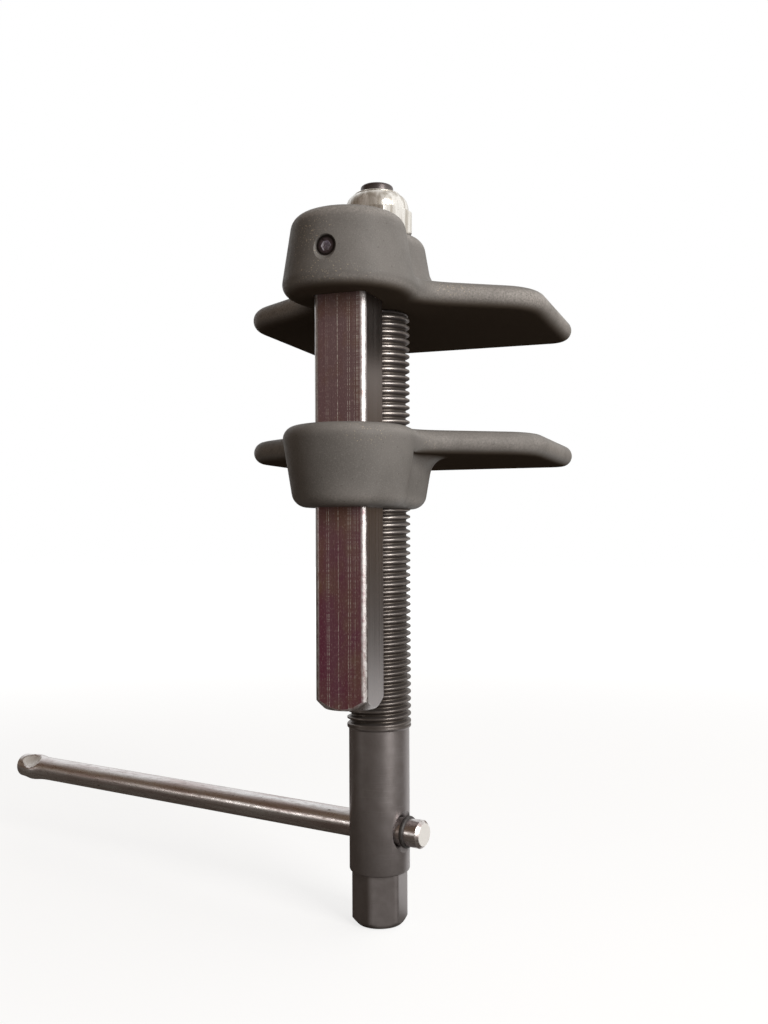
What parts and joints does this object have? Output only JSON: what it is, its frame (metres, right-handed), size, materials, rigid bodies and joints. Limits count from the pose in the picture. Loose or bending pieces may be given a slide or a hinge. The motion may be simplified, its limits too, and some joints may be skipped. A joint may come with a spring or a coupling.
{
  "type": "brake caliper piston tool",
  "caption": "Screw press that pushes brake pistons back: forged jaws on a square guide bar, driven apart by a threaded spindle with a sliding T-bar and a drive hexagon.",
  "frame": {"origin": "centre of the spindle's drive end, at the bottom of its hexagon", "axes": "+Z along the spindle to its lock nut, +Y to the back edges of the jaw plates, +X to the right when the guide bar is in front"},
  "size_m": [0.2391, 0.1267, 0.253],
  "materials": {
    "forging": "dark phosphate on a blasted forging, satin",
    "drawn_bar": "bright drawn steel with fine lines along it",
    "black_screw": "black oxide, satin",
    "spindle_steel": "turned steel with a thin black oxide",
    "zinc": "bright zinc plate",
    "nylon": "natural nylon",
    "plated_bar": "bright plated steel, worn",
    "ring_rubber": "matt black rubber"
  },
  "bodies": {
    "frame": {"upper_jaw": "forging", "guide_bar": "drawn_bar", "bar_set_screw": "black_screw"},
    "moving_jaw": {"lower_jaw": "forging"},
    "spindle": {"spindle": "spindle_steel", "lock_nut": "zinc", "lock_nut_insert": "nylon"},
    "handle": {"handle_bar": "plated_bar", "handle_ring": "ring_rubber"}
  },
  "joints": [
    {"name": "spindle_turn", "type": "hinge", "parent": "frame", "child": "spindle", "pos_m": [0, 0, 0], "axis": [0, 0, 1], "range_deg": [-5760, 8640]},
    {"name": "jaw_slide", "type": "slide", "parent": "frame", "child": "moving_jaw", "axis": [0, 0, 1], "range_m": [-0.06, 0.04]},
    {"name": "handle_slide", "type": "slide", "parent": "spindle", "child": "handle", "axis": [0.972, -0.2351, 0], "range_m": [0, 0.165]}
  ],
  "couplings": [
    {"joint": "jaw_slide", "follows": "spindle_turn", "m_per_rad": -0.00039789}
  ]
}
